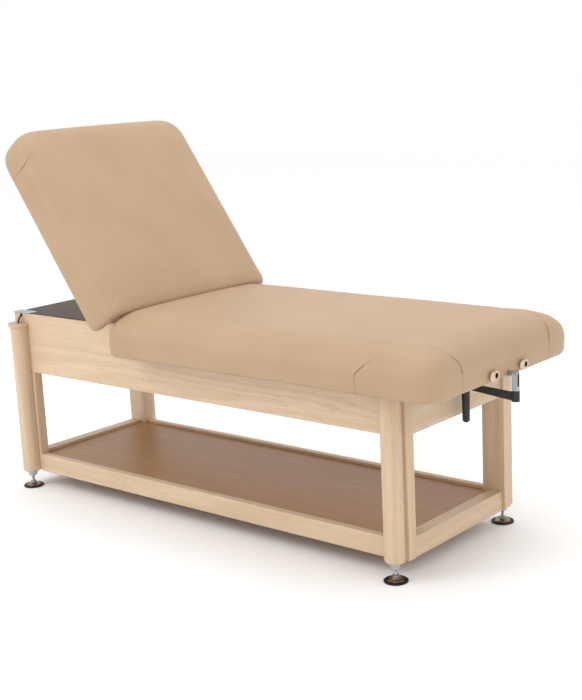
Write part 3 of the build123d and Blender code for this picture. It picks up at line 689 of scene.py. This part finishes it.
def finishPad(name, pad, place):
    points, faces, pinned, shape = buildPad(pad, place)
    seam = np.full(len(points), 1.0)
    seam[:shape["count"]] = seamField(pad, shape).ravel()
    strip = seam[shape["loop"]]
    seam[2 * shape["count"]:] = np.tile(strip, (len(points) - 2 * shape["count"]) // len(strip))
    mesh = bpy.data.meshes.new(name)
    mesh.from_pydata(toWorld(place, points).tolist(), [], faces.tolist())
    mesh.attributes.new("seam", "FLOAT", "POINT").data.foreach_set("value", seam)
    shell = bmesh.new()
    shell.from_mesh(mesh)
    bmesh.ops.recalc_face_normals(shell, faces=shell.faces)
    shell.to_mesh(mesh)
    shell.free()
    mesh.shade_smooth()
    piece = bpy.data.objects.new(name, mesh)
    bpy.context.scene.collection.objects.link(piece)
    inflate(piece, pinned, pad["swell"])
    surface = np.empty(len(points) * 3)
    mesh.vertices.foreach_get("co", surface)
    outer = surface.reshape(-1, 3)[:shape["count"]].reshape(shape["outer"].shape)
    smooth = piece.modifiers.new("smooth", "SUBSURF")
    smooth.levels = smooth.render_levels = 1
    with bpy.context.temp_override(object=piece, active_object=piece, selected_objects=[piece]):
        bpy.ops.object.modifier_apply(modifier=smooth.name)
    dress(piece, materials["vinyl"], pad["body"])
    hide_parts(*[node for node in (pad["node"], pad["skirt"]) if node])
    for side, sideName in ((-1, "near"), (1, "far")):
        for part, (start, end) in seamBead["spans"].items():
            path = seamPath(pad, shape, outer, side, start, end)
            bead = tubeAlong(f"{name}_seam_{part}_{sideName}", path, seamBead["radius"])
            dress(bead, materials["thread"], pad["body"])
    print(name, "done:", len(mesh.polygons), "faces")


hinge = np.array(joints["back_tilt"]["pos_m"])
lean = math.radians(-joints["back_tilt"]["range_deg"][0])
seatPlace = localFrame((0, 0, 0), (1, 0, 0), (0, 0, 1))
backPlace = localFrame(hinge, (-math.cos(lean), 0, math.sin(lean)), (math.sin(lean), 0, math.cos(lean)))
finishPad("seat_pad", pads["seat"], seatPlace)
finishPad("back_pad", pads["back"], backPlace)


foot = {
    "disc": [(0, 0), (34.6, 0), (35.8, 0.8), (36, 2.4), (35.4, 4.6), (33.6, 5.8), (30, 6.3), (27.5, 5.6),
             (26, 5.4), (12, 5.6), (0, 5.6)],
    "star": [(0, 5.2), (26, 5.2), (26.5, 6.0), (25.6, 7.0), (20, 7.6), (13, 9.4), (10.5, 12.2), (0, 12.4)],
    "points": 6,
    "nut": (11.6, 12, 20),
    "spindle": (5.0, 19.5, 58),
    "thread": 1.75,
    "collar": [(6.0, 40.2), (12.2, 40), (13.2, 41), (13.6, 44.5), (12.4, 45.6), (12.4, 47), (15.4, 50),
               (16.8, 50.4), (17.6, 51.6), (17.8, 57.9), (6.0, 57.9), (6.0, 40.2)],
}


def starRipple(radius, height, around):
    # six rounded points, strongest at the rim
    return radius * (1 - 0.16 * (radius / 0.0265) ** 2 * (0.5 - 0.5 * np.cos(foot["points"] * around)))


def hexRipple(radius, height, around):
    # a hexagon's edge as the distance to its nearest flat
    sector = (around + math.pi / 6) % (math.pi / 3) - math.pi / 6
    return radius * math.cos(math.pi / 6) / np.cos(sector)


def threadRipple(radius, height, around):
    # a helical groove: the cosine of height in pitches less the turn round the axis
    groove = 0.0004 * np.cos(2 * math.pi * height / (foot["thread"] * mm) - around)
    return np.where(radius > 1e-6, radius - 0.0004 + groove, radius)


def scaled(profile):
    return np.array(profile, float) * mm


for corner in corners:
    low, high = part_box(f"levelling_foot_{corner}")
    centre = ((low.x + high.x) / 2, (low.y + high.y) / 2, 0)
    body = f"foot_{corner}"
    disc = turned(f"foot_disc_{corner}", scaled(foot["disc"]), centre, 72)
    star = turned(f"foot_star_{corner}", scaled(foot["star"]), centre, 96, starRipple)
    radius, nutLow, nutHigh = foot["nut"]
    nutProfile = [(0, nutLow), (radius - 0.8, nutLow), (radius, nutLow + 0.7), (radius, nutHigh - 0.7),
                  (radius - 0.8, nutHigh), (0, nutHigh)]
    nut = turned(f"foot_nut_{corner}", scaled(nutProfile), centre, 48, hexRipple, 25)
    radius, rodLow, rodHigh = foot["spindle"]
    heights = np.linspace(rodLow, rodHigh, 120)
    rodProfile = [(0, rodLow)] + [(radius, height) for height in heights] + [(0, rodHigh)]
    spindle = turned(f"foot_spindle_{corner}", scaled(rodProfile), centre, 24, threadRipple, 60)
    dress(disc, materials["rubber"], body)
    dress(star, materials["bronze"], body)
    dress(nut, materials["zinc"], body)
    dress(spindle, materials["chrome"], body)
    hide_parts(f"levelling_foot_{corner}")
    collar = turned(f"foot_collar_{corner}", scaled(foot["collar"]), centre, 64)
    dress(collar, materials["chrome"], f"lift_{corner}")
print("feet done")


screwDepth = 0.0008


def screwHead(name, centre, out, body, settings):
    # a low dome with a cross pressed into it, turned to face along out
    around = np.linspace(0, 2 * math.pi, 48, endpoint=False)[None, :]
    share = np.linspace(0, 1, 10)[:, None]
    radius = settings["radius"] * mm * share
    height = settings["dome"] * mm * np.sqrt(np.maximum(1 - share**2, 0)) + 0 * around
    arm = np.minimum(np.abs(radius * np.cos(around)), np.abs(radius * np.sin(around)))
    dip = settings["slot"] * 1.6 * mm * np.exp(-((arm / (settings["slot"] * mm)) ** 4)) * (share < 0.62)
    top = np.stack([radius * np.cos(around), radius * np.sin(around), height - dip], -1)
    back = radius[::-1]
    under = np.full_like(top[..., 0], -screwDepth)
    base = np.stack([back * np.cos(around), back * np.sin(around), under], -1)
    out = np.array(out, float)
    side = np.cross(out, (0.0, 1.0, 0.0)) if abs(out[1]) < 0.9 else np.array([1.0, 0, 0])
    side /= np.linalg.norm(side)
    axes = np.array([side, np.cross(out, side), out])
    points = np.concatenate([top, base[1:]]) @ axes + np.array(centre)
    piece = makePiece(name, points, gridFaces(len(top) + len(base) - 1, 48, wrap=True))
    dress(piece, materials["zinc"], body)


socketMounts = {mount["name"]: mount["pos_m"] for mount in frame["record"]["mounts"]}
for sideName in ("near", "far"):
    name = f"headrest_socket_{sideName}"
    low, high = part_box(name)
    axisY, axisZ = socketMounts[name][1:]
    screwHead(
        f"socket_screw_{sideName}", (high.x - 0.0006, axisY - 0.022, axisZ), (1, 0, 0), "frame",
        {"radius": 3.4, "dome": 1.0, "slot": 0.5},
    )
    depth = 0.05
    # a thin tube inside each socket's hole, coloured dark brown as painted shade in the bore
    boreShade = turned(
        f"socket_liner_{sideName}",
        [(0.0077, 0), (0.0081, 0), (0.0081, depth), (0, depth), (0, depth - 0.001), (0.0077, depth - 0.001),
         (0.0077, 0)], (0, 0, 0), 40,
    )
    inwards = np.array([[0, 0, 1], [0, 1, 0], [-1, 0, 0]], float)
    points = np.empty(len(boreShade.data.vertices) * 3)
    boreShade.data.vertices.foreach_get("co", points)
    place = np.array([high.x - 0.0008, axisY, axisZ])
    boreShade.data.vertices.foreach_set("co", (points.reshape(-1, 3) @ inwards + place).ravel())
    dress(boreShade, materials["dark"], "frame")
print("fittings done")


floorPoints = np.array([[-14, -14, 0], [14, -14, 0], [14, 14, 0], [-14, 14, 0]], float)
floor = bpy.data.meshes.new("floor")
floor.from_pydata(floorPoints.tolist(), [], [[0, 1, 2, 3]])
floorPiece = bpy.data.objects.new("floor", floor)
bpy.context.scene.collection.objects.link(floorPiece)
floorPiece.location.z = -0.0002
material, tree, shader = newMaterial("paleFloor")
shader.inputs["Base Color"].default_value = (0.99, 0.99, 0.99, 1)
shader.inputs["Roughness"].default_value = 0.9
shader.inputs["Specular IOR Level"].default_value = 0.0
floor.materials.append(material)

print("scene complete")
